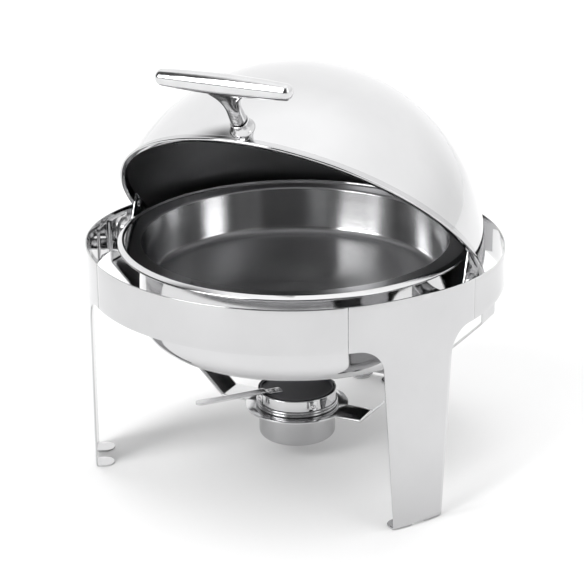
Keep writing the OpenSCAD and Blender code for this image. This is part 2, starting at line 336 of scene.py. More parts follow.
class Nodes:
    def __init__(self, name):
        self.mat = bpy.data.materials.new(name)
        self.mat.use_nodes = True
        self.tree = self.mat.node_tree
        self.shader = self.tree.nodes["Principled BSDF"]
        self.coords = self.add("ShaderNodeTexCoord").outputs["Object"]

    def add(self, kind, **values):
        node = self.tree.nodes.new(kind)
        for key, value in values.items():
            setattr(node, key, value)
        return node

    def put(self, value, socket):
        if isinstance(value, (int, float, tuple)):
            socket.default_value = value
        else:
            self.tree.links.new(value, socket)

    def math(self, kind, a, b=0.0, clamp=False):
        node = self.add("ShaderNodeMath", operation=kind, use_clamp=clamp)
        self.put(a, node.inputs[0])
        self.put(b, node.inputs[1])
        return node.outputs[0]

    def noise(self, scale, detail=3.0, rough=0.5, stretch=(1, 1, 1), where=None):
        place = self.add("ShaderNodeMapping")
        place.inputs["Scale"].default_value = stretch
        self.put(where or self.coords, place.inputs["Vector"])
        node = self.add("ShaderNodeTexNoise")
        node.inputs["Scale"].default_value = scale
        node.inputs["Detail"].default_value = detail
        node.inputs["Roughness"].default_value = rough
        self.put(place.outputs[0], node.inputs["Vector"])
        return node.outputs["Fac"]

    def spread(self, value, start, end, new_start, new_end):
        node = self.add("ShaderNodeMapRange")
        node.inputs["From Min"].default_value = start
        node.inputs["From Max"].default_value = end
        node.inputs["To Min"].default_value = new_start
        node.inputs["To Max"].default_value = new_end
        self.put(value, node.inputs["Value"])
        return node.outputs["Result"]

    def mix(self, fac, a, b):
        node = self.add("ShaderNodeMix", data_type="RGBA")
        self.put(fac, node.inputs["Factor"])
        self.put(a, node.inputs[6])
        self.put(b, node.inputs[7])
        return node.outputs[2]

    def xyz(self):
        node = self.add("ShaderNodeSeparateXYZ")
        self.put(self.coords, node.inputs[0])
        return node.outputs

    def bump(self, height, distance, strength=1.0, normal=None):
        node = self.add("ShaderNodeBump")
        node.inputs["Distance"].default_value = distance
        node.inputs["Strength"].default_value = strength
        self.put(height, node.inputs["Height"])
        if normal is not None:
            self.put(normal, node.inputs["Normal"])
        return node.outputs[0]

    def worn(self):
        """Near 1 along outer edges, where handling rubs the sheet brighter."""
        geo = self.add("ShaderNodeNewGeometry")
        return self.spread(geo.outputs["Pointiness"], 0.52, 0.60, 0.0, 1.0)

    def finish(self, colour, roughness, normal, metallic=1.0):
        self.put(colour, self.shader.inputs["Base Color"])
        self.put(roughness, self.shader.inputs["Roughness"])
        self.put(normal, self.shader.inputs["Normal"])
        self.shader.inputs["Metallic"].default_value = metallic
        return self.mat


def grey(v, blue=0.006):
    return (v, v, v + blue, 1.0)


def polished(name, tone=0.64, rough=0.05, wave=0.05, grain=(1, 1, 1)):
    """Mirror-polished sheet: faint waviness, wipe marks, hairlines and brighter worn edges."""
    n = Nodes(name)
    smudge = n.noise(16, 4, 0.6)
    wipes = n.noise(60, 3, 0.7, (1, 1, 0.22))
    hair = n.noise(900, 2, 0.6, grain)
    colour = n.mix(n.spread(smudge, 0.35, 0.7, 0, 1), grey(tone), grey(tone * 0.955))
    colour = n.mix(n.math("MULTIPLY", n.worn(), 0.5), colour, grey(min(1, tone * 1.22)))
    r = n.math("ADD", n.spread(smudge, 0.4, 0.75, rough, rough + 0.035),
               n.spread(wipes, 0.5, 0.8, 0.0, 0.03))
    r = n.math("ADD", r, n.spread(hair, 0.45, 0.8, 0.0, 0.02))
    r = n.math("ADD", r, n.math("MULTIPLY", n.worn(), 0.05))
    normal = n.bump(n.noise(7, 1, 0.4), wave * MM, 1.0)
    normal = n.bump(hair, 0.0008 * MM, 1.0, normal)
    return n.finish(colour, r, normal)


def satin_turned(name, tone=0.56, rough=0.22, aniso=0.75, dark=0.5, burnished=9.0):
    """Satin sheet brushed round the object's own Z axis, as on a lathe. Above the height
    burnished, the rim is polished smooth."""
    n = Nodes(name)
    x, y, z = n.xyz()
    radius = n.math("SQRT", n.math("ADD", n.math("MULTIPLY", x, x), n.math("MULTIPLY", y, y)))
    combine = n.add("ShaderNodeCombineXYZ")
    n.put(radius, combine.inputs[0])
    n.put(z, combine.inputs[1])
    spin = combine.outputs[0]
    grain = n.noise(1400, 3, 0.7, (1, 1, 1), spin)
    broad = n.noise(120, 3, 0.6, (1, 1, 1), spin)
    cloud = n.noise(14, 4, 0.6)
    blend = n.math("MULTIPLY", n.math("ADD", grain, broad), 0.5)
    colour = n.mix(n.spread(blend, 0.35, 0.65, 0, 1), grey(tone * 0.97), grey(tone * 1.03))
    colour = n.mix(n.spread(cloud, 0.45, 0.8, 0, dark), colour, grey(tone * 0.93))
    r = n.math("ADD", n.spread(grain, 0.3, 0.7, rough, rough + 0.04),
               n.spread(cloud, 0.4, 0.8, 0, 0.04))
    r = n.math("MULTIPLY", r, n.spread(z, burnished - 1 * MM, burnished, 1.0, 0.3))
    normal = n.bump(grain, 0.0012 * MM, 0.6)
    n.shader.inputs["Anisotropic"].default_value = aniso
    n.shader.inputs["Anisotropic Rotation"].default_value = 0.25
    tangent = n.add("ShaderNodeTangent", direction_type="RADIAL", axis="Z")
    n.put(tangent.outputs[0], n.shader.inputs["Tangent"])
    return n.finish(colour, r, normal)


def cast_metal(name, tone=0.66, rough=0.09):
    """Polished casting: soft unevenness under the polish and a few pores."""
    n = Nodes(name)
    soft = n.noise(55, 2, 0.5)
    fine = n.noise(420, 3, 0.6)
    pores = n.noise(650, 2, 0.5)
    colour = n.mix(n.spread(soft, 0.35, 0.7, 0, 1), grey(tone), grey(tone * 0.94))
    colour = n.mix(n.math("MULTIPLY", n.worn(), 0.35), colour, grey(min(1, tone * 1.15)))
    r = n.math("ADD", n.spread(soft, 0.35, 0.75, rough, rough + 0.06),
               n.spread(fine, 0.5, 0.8, 0, 0.05))
    normal = n.bump(soft, 0.22 * MM, 1.0)
    normal = n.bump(n.spread(pores, 0.72, 0.8, 0, -1), 0.02 * MM, 1.0, normal)
    return n.finish(colour, r, normal)


def turned(name, tone=0.6, rough=0.2):
    """Fasteners and washers, with fine turning marks."""
    n = Nodes(name)
    marks = n.noise(1800, 2, 0.6)
    broad = n.noise(90, 3, 0.6)
    colour = n.mix(n.spread(broad, 0.35, 0.7, 0, 1), grey(tone), grey(tone * 0.85))
    r = n.math("ADD", n.spread(marks, 0.35, 0.7, rough, rough + 0.1),
               n.spread(broad, 0.45, 0.75, 0, 0.06))
    normal = n.bump(marks, 0.003 * MM, 0.8)
    return n.finish(colour, r, normal)


STEEL = polished("polished_sheet", 0.57)
BOWL = polished("polished_spun_bowl", 0.60, 0.07, 0.03, (0.25, 0.25, 4))
STRAP = polished("polished_strap", 0.6, 0.1, 0.04, (1, 4, 1))
PAN = satin_turned("satin_food_pan", 0.64, 0.18, 0.85, 0.5, RIM_TOP - 3.6 * MM)
CUP = satin_turned("satin_burner_cup", 0.47, 0.20, 0.7, 0.3)
# the cover's near-black grey is partly its own dark finish and partly a painted reflection of a
# dark backdrop
COVER = satin_turned("dark_burner_cover_painted_reflection", 0.05, 0.32, 0.5, 0.6)
CAST = cast_metal("polished_casting")
BRIGHT = turned("bright_fastener")


def lid_material():
    """Mirror polish outside, and a satin face inside with painted shade: a darker grey than the
    outside, fading towards black lower down. Inside and outside are told apart by the distance from
    the dome's centre."""
    n = Nodes("spun_dome")
    offset = n.add("ShaderNodeVectorMath", operation="DISTANCE")
    n.put(n.coords, offset.inputs[0])
    offset.inputs[1].default_value = tuple(DOME_C)
    inside = n.spread(offset.outputs["Value"], DOME_R - 0.65 * MM, DOME_R - 0.35 * MM, 1.0, 0.0)
    smudge = n.noise(11, 4, 0.6)
    wipes = n.noise(45, 3, 0.7, (1, 0.25, 1))
    hair = n.noise(800, 2, 0.6)
    outer = n.mix(n.spread(smudge, 0.35, 0.7, 0, 1), grey(0.66), grey(0.63))
    # painted shade: the inside face darkens towards black lower down, and its grey is darker than
    # the outside's
    painted_shade_by_height = n.spread(n.xyz()[2], 0.26, 0.37, 0.55, 1.12)
    inner = n.mix(n.spread(smudge, 0.3, 0.7, 0, 1), grey(0.50), grey(0.44))
    inner = n.mix(painted_shade_by_height, grey(0.0), inner)
    colour = n.mix(inside, outer, inner)
    r_out = n.math("ADD", n.spread(smudge, 0.4, 0.75, 0.05, 0.09),
                   n.spread(wipes, 0.5, 0.8, 0, 0.035))
    r_in = n.spread(smudge, 0.3, 0.7, 0.27, 0.34)
    span = n.math("MULTIPLY", inside, n.math("SUBTRACT", r_in, r_out))
    normal = n.bump(n.noise(6, 1, 0.4), 0.04 * MM, 1.0)
    normal = n.bump(hair, 0.0015 * MM, 1.0, normal)
    return n.finish(colour, n.math("ADD", r_out, span), normal)


DOME = lid_material()


def piece(obj, material, body, nodes):
    obj.data.materials.clear()
    obj.data.materials.append(material)
    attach(obj, body)
    if nodes:
        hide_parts(*nodes)
    return obj


# ---- ring frame ----

def on_ring(angle, z, r=RING_R):
    """A point by its direction from the front, towards the right, in degrees."""
    a = math.radians(angle)
    return Vector((r * math.sin(a), -r * math.cos(a), z))


SEAM = 0.075
LEG_SPAN = 20.5


# the ring's top edge slopes from here on, over this length towards the back
SLOPE_START = -115 * MM
SLOPE_RUN = 175 * MM


def top_at(y):
    """Height of the ring's top edge, which slopes down from front to back."""
    along = min(1.0, max(0.0, (y - SLOPE_START) / SLOPE_RUN))
    return FRONT_TOP + (REAR_TOP - FRONT_TOP) * along


def band(name, start, end, node):
    start, end = start + SEAM, end - SEAM
    cols = max(24, int((end - start) / 1.25))
    foot = [on_ring(start + (end - start) * j / cols, RING_LOW) for j in range(cols + 1)]
    rows = [[Vector((p.x, p.y, p.z + (top_at(p.y) - p.z) * i / 6)) for p in foot] for i in range(7)]
    obj = edged(thickened(grid(name, rows), SHEET), 0.5 * MM)
    return piece(obj, STEEL, "frame", [node])


band("ring_front", -60 + LEG_SPAN, 60 - LEG_SPAN, "band_front")
band("ring_rear_right", 60 + LEG_SPAN, 180 - LEG_SPAN, "band_rear_right")
band("ring_rear_left", -180 + LEG_SPAN, -60 - LEG_SPAN, "band_rear_left")


def leg(name, angle, node):
    """A leg plate cut from one sheet with its stretch of the ring, and two tabs turned in."""
    top_half, foot_half, fillet = 43 * MM, 31 * MM, 28 * MM
    plate = RING_R * math.sin(math.radians(LEG_SPAN - SEAM))
    shoulder = top_half + fillet
    straight = RING_LOW - fillet
    notch, bend = 8.5 * MM, 3 * MM
    tip = RING_R - 22 * MM
    knot = notch / foot_half
    tab_cols, notch_cols, plate_steps, bend_rows = 7, 4, 6, 6
    cols = [-1 + (1 - knot) * k / tab_cols for k in range(tab_cols + 1)]
    cols += [-knot + 2 * knot * k / notch_cols for k in range(1, notch_cols)]
    cols += [knot + (1 - knot) * k / tab_cols for k in range(tab_cols + 1)]

    def half(z):
        if z <= straight:
            return foot_half + (top_half - foot_half) * z / straight
        t = math.asin(min(1, (z - straight) / fillet))
        return top_half + fillet - fillet * math.cos(t)

    def at(y, z, depth=0.0):
        return Vector((math.sqrt(RING_R ** 2 - y * y) - depth, y, z))

    heights = [bend + (straight - bend) * k / 22 for k in range(23)]
    heights += [straight + fillet * math.sin(math.radians(a)) for a in
                (10, 20, 30, 40, 50, 60, 70, 78, 84, 88)]
    heights.append(RING_LOW)
    verts, faces, index = [], [], {}

    def vert(key, p):
        if key not in index:
            index[key] = len(verts)
            verts.append(p)
        return index[key]

    rows = []
    for i, z in enumerate(heights):
        rows.append([vert(("leg", i, j), at(s * half(z), z)) for j, s in enumerate(cols)])
    for i in range(len(rows) - 1):
        for j in range(len(cols) - 1):
            faces.append((rows[i][j], rows[i][j + 1], rows[i + 1][j + 1], rows[i + 1][j]))
    # plate of the ring, with two columns more on each side
    last = len(heights) - 1
    wide = [-plate, -(plate + shoulder) / 2] + [s * shoulder for s in cols]
    wide += [(plate + shoulder) / 2, plate]
    turn = math.radians(angle - 90)
    plate_rows = []
    for i in range(plate_steps + 1):
        row = []
        for j, y in enumerate(wide):
            shared = i == 0 and 2 <= j < len(wide) - 2
            key = ("leg", last, j - 2) if shared else ("plate", i, j)
            p = at(y, RING_LOW)
            top = top_at(p.x * math.sin(turn) + y * math.cos(turn))
            row.append(vert(key, at(y, RING_LOW + (top - RING_LOW) * i / plate_steps)))
        plate_rows.append(row)
    for i in range(plate_steps):
        for j in range(len(wide) - 1):
            faces.append((plate_rows[i][j], plate_rows[i][j + 1],
                          plate_rows[i + 1][j + 1], plate_rows[i + 1][j]))
    # foot tabs
    tab_half = (foot_half - notch) / 2
    for side in (0, 1):
        first = 0 if side == 0 else len(cols) - tab_cols - 1
        js = range(first, first + tab_cols + 1)
        middle = (-1 if side == 0 else 1) * (notch + tab_half)
        before = [rows[0][j] for j in js]
        for k in range(1, bend_rows + 1):
            t = math.radians(90 * k / bend_rows)
            row = []
            for j in js:
                y = cols[j] * half(bend)
                row.append(vert(("bend", side, k, j),
                                at(y, bend - bend * math.sin(t), bend - bend * math.cos(t))))
            for m in range(tab_cols):
                faces.append((row[m], row[m + 1], before[m + 1], before[m]))
            before = row
        steps = 12
        for k in range(1, steps + 1):
            t = k / steps
            row = []
            for j in js:
                y0 = cols[j] * half(bend)
                start = math.sqrt(RING_R ** 2 - y0 * y0) - bend
                if k <= 3:
                    reach = tip + tab_half
                    x = start + (reach - start) * k / 3
                    y = y0 + (middle + (y0 - middle) * tab_half / (tab_half + 0.1 * MM) - y0) * t
                else:
                    a = math.radians(88 * (k - 3) / (steps - 3))
                    x = tip + tab_half - tab_half * math.sin(a)
                    y = middle + (y0 - middle) * math.cos(a)
                row.append(vert(("tab", side, k, j), Vector((x, y, 0.0))))
            for m in range(tab_cols):
                faces.append((row[m], row[m + 1], before[m + 1], before[m]))
            before = row
    obj = mesh_of(name, verts, faces, outward=False)
    obj.data.transform(Matrix.Rotation(turn, 4, "Z"))
    obj = edged(thickened(obj, SHEET), 0.5 * MM)
    return piece(obj, STEEL, "frame", [node])


leg("leg_plate_front_left", -60, "leg_front_left")
leg("leg_plate_front_right", 60, "leg_front_right")
leg("leg_plate_rear", 180, "leg_rear")

straps = []
for centre in (-60, 60, 180):
    for s in (-1, 1):
        middle = centre + s * LEG_SPAN
        rows = [[on_ring(middle - 3 + 0.75 * j, RING_LOW + 3 * MM + (35 * MM) * i / 6,
                         RING_R - SHEET - 0.02 * MM) for j in range(9)] for i in range(7)]
        straps.append(edged(thickened(grid("strap", rows), SHEET), 0.4 * MM))
piece(shaded(joined("seam_backing_straps", straps), 38), STEEL, "frame", ["seam_straps"])


# ---- pans ----

corner = 21 * MM
wall = 172.5 * MM
path = [Vector((0, WATER_LOW))] + arc2(wall - corner, WATER_LOW + corner, corner, -90, 0, 14)
path += rounded([(wall, WATER_LOW + corner + 2 * MM), (wall, WATER_TOP - 1 * MM),
                 (WATER_RIM - 0.2 * MM, WATER_TOP - 1 * MM)], 2.5 * MM)
obj = lathe("water_bowl", pressed(path, PAN_SHEET), 224)
piece(obj, BOWL, "frame", ["water_pan"])

floor_in = PAN_LOW + PAN_SHEET
top_r = 168.5 * MM
foot_r = 163.5 * MM
flange = RIM_TOP - 3 * MM
step = RIM_R - 6 * MM
path = [Vector((RIM_R, RIM_TOP - 5.5 * MM)), Vector((RIM_R, RIM_TOP - 4 * MM)),
        Vector((step, RIM_TOP)), Vector((step - 0.6 * MM, flange)), Vector((top_r, flange)),
        Vector((foot_r, floor_in)), Vector((0, floor_in))]
path = rounded(path, [1.4 * MM, 1.2 * MM, 1.2 * MM, 3.0 * MM, 10 * MM], 8)
obj = lathe("food_pan_body", pressed(path, PAN_SHEET), 224)
piece(obj, PAN, "food_pan", ["food_pan"])

for s in ("left", "right"):
    piece(refined("pan_support_" + s, "pan_bracket_" + s, 0.45 * MM), STRAP, "frame",
          ["pan_bracket_" + s])


# ---- fasteners ----

def hexed(first, last, width, size):
    """Scales section points first to last into a hexagon of that width across flats."""
    def shape(i, a):
        if first <= i <= last:
            m = (a + math.pi / 6) % (math.pi / 3) - math.pi / 6
            return 1 / math.cos(m) * width / (2 * size)
        return 1.0
    return shape


def button_bolt(name, place, head_r, head_h, shaft_r, shaft, socket):
    """A button head with a hexagon socket, its seat at 0 and its head towards +Z."""
    r = socket / 2
    socket_floor = head_h * 0.35
    edge = 0.35 * MM
    section = [Vector((0, socket_floor)), Vector((r, socket_floor)),
               Vector((r, head_h - 0.1 * MM)), Vector((r + 0.5 * MM, head_h))]
    for degrees in (42, 52, 62, 70, 78, 84):
        t = math.radians(degrees)
        section.append(Vector((head_r * math.sin(t) * 0.995,
                               edge + (head_h - edge) * math.cos(t) ** 0.8)))
    section += [Vector((head_r, edge)), Vector((head_r - 0.25 * MM, 0.0)),
                Vector((shaft_r, 0.0)), Vector((shaft_r, -shaft)), Vector((0, -shaft))]
    return lathe(name, section, 72, place, 35, hexed(1, 3, socket, r * 2))


for s, side in ((-1, "left"), (1, "right")):
    lo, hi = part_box("pivot_bolt_" + side)
    inner = lo.x if s > 0 else hi.x
    outer = hi.x if s > 0 else lo.x
    seat = Vector((inner + s * 4 * MM, PIVOT.y, PIVOT.z))
    obj = button_bolt("pivot_screw_" + side, facing(seat, (-s, 0, 0)), 8 * MM, 4 * MM, 4.95 * MM,
                      abs(outer - seat.x), 5 * MM)
    piece(obj, BRIGHT, "frame", ["pivot_bolt_" + side])
    lo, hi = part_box("pivot_boss_" + side)
    base = hi.x if s > 0 else lo.x
    depth = hi.x - lo.x
    path = [(5 * MM, 0.0), (15 * MM, 0.0), (15 * MM, 5 * MM), (10 * MM, 5 * MM),
            (10 * MM, depth), (5 * MM, depth)]
    section = rounded(path, [0.8 * MM, 1.0 * MM, 1.6 * MM, 0.6 * MM], 4)
    obj = lathe("pivot_spacer_" + side, section, 96,
                facing(Vector((base, PIVOT.y, PIVOT.z)), (-s, 0, 0)), 40)
    piece(obj, BRIGHT, "frame", ["pivot_boss_" + side])

rings = []
for lo, hi in islands("pivot_washers"):
    mid = (lo + hi) / 2
    t = hi.x - lo.x
    hole, rim = 5 * MM, 12.5 * MM
    section = rounded([(hole, 0.0), (rim, 0.0), (rim, t), (hole, t), (hole, t / 2)],
                      [0.4 * MM, 0.4 * MM, 0.3 * MM], 3)
    rings.append(lathe("washer", section, 72, facing(Vector((lo.x, mid.y, mid.z)), (1, 0, 0)), 40))
piece(shaded(joined("friction_washers", rings), 40), BRIGHT, "frame", ["pivot_washers"])


def rivet(name, place, r, h, shank):
    """A domed rivet head with its shank behind it."""
    section = [Vector((0, h))] + [Vector((r * math.sin(t), h * math.cos(t)))
                                  for t in (math.radians(a) for a in (18, 36, 52, 66, 78, 88))]
    section += [Vector((r - 0.15 * MM, -0.05 * MM)), Vector((shank[0], -0.05 * MM)),
                Vector((shank[0], -shank[1])), Vector((0, -shank[1]))]
    return lathe(name, section, 40, place, 40)


# ---- burner strap ----

def strap_point(s, y, bends):
    """Where a point of the flat strap lies once it is bent. s runs along the strap from its
    middle; bends lists (start, length, turn in degrees)."""
    x, z, a, at = 0.0, STRAP_LOW, 0.0, 0.0
    side = 1 if s >= 0 else -1
    s = abs(s)
    for start, length, turn in bends:
        run = min(s, start) - at
        if run > 0:
            x += run * math.cos(a)
            z += run * math.sin(a)
            at += run
        if s <= start:
            break
        part = min(s - start, length)
        turn = math.radians(turn)
        r = length / abs(turn)
        sign = 1 if turn > 0 else -1
        b = a + turn * part / length
        x += sign * r * (math.sin(b) - math.sin(a))
        z += sign * r * (math.cos(a) - math.cos(b))
        a = b
        at = start + part
    if s > at:
        x += (s - at) * math.cos(a)
        z += (s - at) * math.sin(a)
    return Vector((side * x, y, z))


def strap_piece():
    """The cross strap: a round plate with a hole for the burner, and an arm on each side."""
    width, plate_r, hole_r, thick = 35 * MM, 58 * MM, 43.6 * MM, STRAP_SHEET
    corner_x = 87 * MM
    outer_x = high("burner_strap").x
    bend_r = 6 * MM
    slope = 45
    half_tab = math.tan(math.radians(slope / 2)) * bend_r
    first = corner_x - half_tab
    arc = math.radians(slope) * bend_r
    # the strap's lower face meets the ring's inside at outer_x
    climb = (outer_x - corner_x) / math.cos(math.radians(slope))
    second = first + arc + climb - 2 * half_tab
    top_z = high("burner_strap").z
    corner_z = STRAP_LOW + climb * math.sin(math.radians(slope))
    end = second + arc + (top_z - corner_z - half_tab)
    bends = [(first, arc, slope), (second, arc, 90 - slope)]
    ys = [width * (j / 8 - 0.5) for j in range(9)]
    bm = bmesh.new()

    def edge_loop(points):
        vs = [bm.verts.new(p) for p in points]
        return [bm.edges.new((vs[i], vs[(i + 1) % len(vs)])) for i in range(len(vs))]

    a0 = math.asin(width / 2 / plate_r)
    outline = []
    for side in (1, -1):
        outline += [(side * (first - 1 * MM), side * y) for y in ys]
        angles = [a0 + (math.pi - 2 * a0) * k / 48 for k in range(49)]
        outline += [(side * plate_r * math.cos(a), side * plate_r * math.sin(a)) for a in angles]
    rim = edge_loop([strap_point(x, y, bends) for x, y in outline])
    round_turns = [TAU * k / 96 for k in range(96)]
    hole = edge_loop([Vector((hole_r * math.cos(t), hole_r * math.sin(t), STRAP_LOW))
                      for t in round_turns])
    bmesh.ops.triangle_fill(bm, edges=rim + hole, use_beauty=True, normal=(0, 0, -1))
    for side in (1, -1):
        stations = [first - 1 * MM] + [first + arc * k / 8 for k in range(9)]
        stations += [first + arc + (second - first - arc) * k / 10 for k in range(1, 11)]
        stations += [second + arc * k / 8 for k in range(1, 9)]
        stations += [second + arc + (end - second - arc) * k / 8 for k in range(1, 9)]
        rows = []
        for s in stations:
            rows.append([bm.verts.new(strap_point(side * s, side * y, bends)) for y in ys])
        for i in range(len(rows) - 1):
            for j in range(len(ys) - 1):
                bm.faces.new((rows[i][j], rows[i + 1][j], rows[i + 1][j + 1], rows[i][j + 1]))
    bmesh.ops.remove_doubles(bm, verts=bm.verts, dist=1e-6)
    bmesh.ops.recalc_face_normals(bm, faces=bm.faces)
    if sum(f.normal.z * f.calc_area() for f in bm.faces) > 0:
        bmesh.ops.reverse_faces(bm, faces=bm.faces)
    me = bpy.data.meshes.new("burner_cross_strap")
    bm.to_mesh(me)
    bm.free()
    obj = edged(thickened(link("burner_cross_strap", me), thick), 0.45 * MM)
    return piece(obj, STRAP, "frame", ["burner_strap"])


strap_piece()


# ---- lid: made closed about the dome's axis, then turned to where it stands ----

LID_AT = Matrix.Translation(DOME_C) @ Matrix.Rotation(-LID_OPEN, 4, "X")
CUT = 18.4 * MM
HEM = 8.5 * MM


def dome_at(h, r=DOME_R):
    return math.sqrt(r * r - h * h)


lowest = math.degrees(math.asin((CUT + HEM) / DOME_R))
path = arc2(0, 0, DOME_R, lowest, 90, 90)
path[-1].x = 0.0
obj = lathe("lid_shell", pressed(path, DOME_SHEET, 0), 256, LID_AT)
piece(obj, DOME, "lid", ["lid_dome"])

top = CUT + HEM
hem_in, bead_out, bead_top = 204.4 * MM, 210.5 * MM, CUT + 3.5 * MM
outline = [(hem_in, CUT + 4 * MM), (hem_in, CUT), (bead_out, CUT), (bead_out, bead_top),
           (dome_at(bead_top), bead_top)]
outline += [(dome_at(bead_top + (top - bead_top) * k / 5), bead_top + (top - bead_top) * k / 5)
            for k in range(1, 6)]
outline += [(hem_in, top), (hem_in, CUT + 4.1 * MM)]
hem_radii = [0.7 * MM, 1.6 * MM, 1.6 * MM, 0.3 * MM, 0, 0, 0, 0, 0.1 * MM, 0.1 * MM]
section = rounded(outline, hem_radii, 5)
obj = lathe("lid_hem", section, 256, LID_AT, 50)
piece(obj, STEEL, "lid", ["lid_rim"])

for s in ("left", "right"):
    piece(refined("lid_ear_" + s, "ear_" + s, 0.3 * MM), STRAP, "lid", ["ear_" + s])

heads = []
for lo, hi in islands("ear_rivets"):
    s = 1 if lo.x > 0 else -1
    mid = (lo + hi) / 2
    seat = Vector(((lo.x + 1.4 * MM) if s > 0 else (hi.x - 1.4 * MM), mid.y, mid.z))
    heads.append(rivet("rivet", facing(seat, (-s, 0, 0)), 4 * MM, 1.4 * MM, (2 * MM, 0.9 * MM)))
piece(shaded(joined("ear_rivet_heads", heads), 40), BRIGHT, "lid", ["ear_rivets"])

# handle, along its own axis out of the dome
RISE = math.radians(10.7)
HANDLE_AT = LID_AT @ Matrix.Rotation(math.pi / 2 - RISE, 4, "X")
FOOT_TOP = DOME_R + 12 * MM
BAR_Z = DOME_R + 68 * MM
BAR_R, SWELL, NOSE = 8.8 * MM, 2.4 * MM, 7 * MM
BAR_HALF = (high("handle_grip").x - low("handle_grip").x) / 2
BAR_BODY = BAR_HALF - NOSE


def bar_at(x):
    """Radius of the bar's body, which swells towards its middle."""
    return BAR_R + SWELL * (1 - min(1.0, abs(x) / BAR_BODY) ** 2)


section = [Vector((r * MM, dome_at(r * MM) + 0.02 * MM)) for r in (3.2, 7, 11, 13.2)]
section += [Vector((13.75 * MM, dome_at(13.6 * MM) + 0.3 * MM)),
            Vector((13.6 * MM, dome_at(13.6 * MM) + 0.9 * MM)),
            Vector((12.4 * MM, DOME_R + 2.2 * MM)), Vector((11.3 * MM, DOME_R + 4.4 * MM)),
            Vector((10.5 * MM, DOME_R + 7.2 * MM)), Vector((10.0 * MM, FOOT_TOP - 2.4 * MM))]
section += arc2(9.2 * MM, FOOT_TOP - 1.1 * MM, 1.0 * MM, -45, 90, 8)
section += [Vector((8.9 * MM, FOOT_TOP - 0.3 * MM)), Vector((3.2 * MM, FOOT_TOP - 0.3 * MM))]
piece(lathe("handle_collar", section, 96, HANDLE_AT, 45), CAST, "lid", ["handle_foot"])


def handle():
    """One casting: a round bar on a neck that spreads out to it in two arcs."""
    parts = []
    nose = [(math.sin(t), math.cos(t)) for t in (math.pi / 2 * k / 10 for k in range(11))]
    section = [Vector((BAR_R * a, BAR_BODY + NOSE * b)) for a, b in nose]
    section += [Vector((bar_at(x), x)) for x in (BAR_BODY * (1 - k / 12) for k in range(1, 24))]
    section += [Vector((BAR_R * a, -BAR_BODY - NOSE * b)) for a, b in nose[::-1]]
    section[0].x = section[-1].x = 0.0
    lying = Matrix.Translation((0, 0, BAR_Z)) @ Matrix.Rotation(math.pi / 2, 4, "Y")
    parts.append(lathe("bar", section, 48, lying))
    sweep, neck = 34 * MM, 8.8 * MM
    start = FOOT_TOP + 0.15 * MM
    arc_z = BAR_Z - BAR_R - sweep + 4 * MM
    rows = []
    levels, around = 40, 48
    for k in range(levels + 1):
        z = start + (BAR_Z - start) * k / levels
        wide = neck
        if z > arc_z:
            h = min(z - arc_z, sweep * 0.998)
            wide = neck + sweep - math.sqrt(sweep * sweep - h * h)
        deep = neck - 1.9 * MM * math.sin(math.pi * min(1, max(0, (z - start) / (BAR_Z - start))))
        square = 2.0 + 1.2 * min(1, (wide - neck) / (12 * MM))
        row = []
        for m in range(around):
            a = TAU * m / around
            c, s = math.cos(a), math.sin(a)
            row.append(Vector((wide * math.copysign(abs(c) ** (2 / square), c),
                               deep * math.copysign(abs(s) ** (2 / square), s), z)))
        rows.append(row)
    verts = [p for row in rows for p in row]
    faces = []
    for i in range(levels):
        below, above = i * around, (i + 1) * around
        for j in range(around):
            after = (j + 1) % around
            faces.append((below + j, below + after, above + after, above + j))
    faces += [tuple(range(around - 1, -1, -1)), tuple(levels * around + j for j in range(around))]
    parts.append(mesh_of("web", verts, faces))
    obj = joined("handle_casting", parts)
    mod = obj.modifiers.new("one_skin", "REMESH")
    mod.mode = "VOXEL"
    mod.voxel_size = 1.0 * MM
    mod.use_smooth_shade = True
    soft = obj.modifiers.new("fillets", "SMOOTH")
    soft.factor = 0.5
    soft.iterations = 14
    applied(obj)
    fix_bar(obj)
    obj.data.transform(HANDLE_AT)
    return shaded(obj, 60)


def fix_bar(obj):
    """Smoothing draws the bar in a little, so its round surface is put back, except where the
    neck joins it from below."""
    neck_half, blend_from, blend = 50 * MM, 3 * MM, 4 * MM
    for v in obj.data.vertices:
        y, z = v.co.y, v.co.z - BAR_Z
        r = math.hypot(y, z)
        over = max(0.0, abs(v.co.x) - BAR_BODY)
        full = bar_at(v.co.x)
        reach = math.hypot(r / full, over / NOSE)
        clear = 1.0
        if abs(v.co.x) < neck_half:
            clear = min(1.0, max(0.0, (z + blend_from) / blend))
        if reach > 0.7 and clear > 0:
            k = 1 + (1 / reach - 1) * clear
            v.co.y *= k
            v.co.z = BAR_Z + z * k
            if over > 0:
                v.co.x = math.copysign(BAR_BODY + over * k, v.co.x)


piece(handle(), CAST, "lid", ["handle_grip"])

under_dome = Matrix.Translation((0, 0, DOME_R - 1.2 * MM)) @ Matrix.Rotation(math.pi, 4, "X")
obj = button_bolt("handle_fixing_screw", HANDLE_AT @ under_dome,
                  7 * MM, 4 * MM, 2.95 * MM, 30 * MM, 4 * MM)
piece(obj, BRIGHT, "lid", ["handle_screw"])


# ---- burner ----

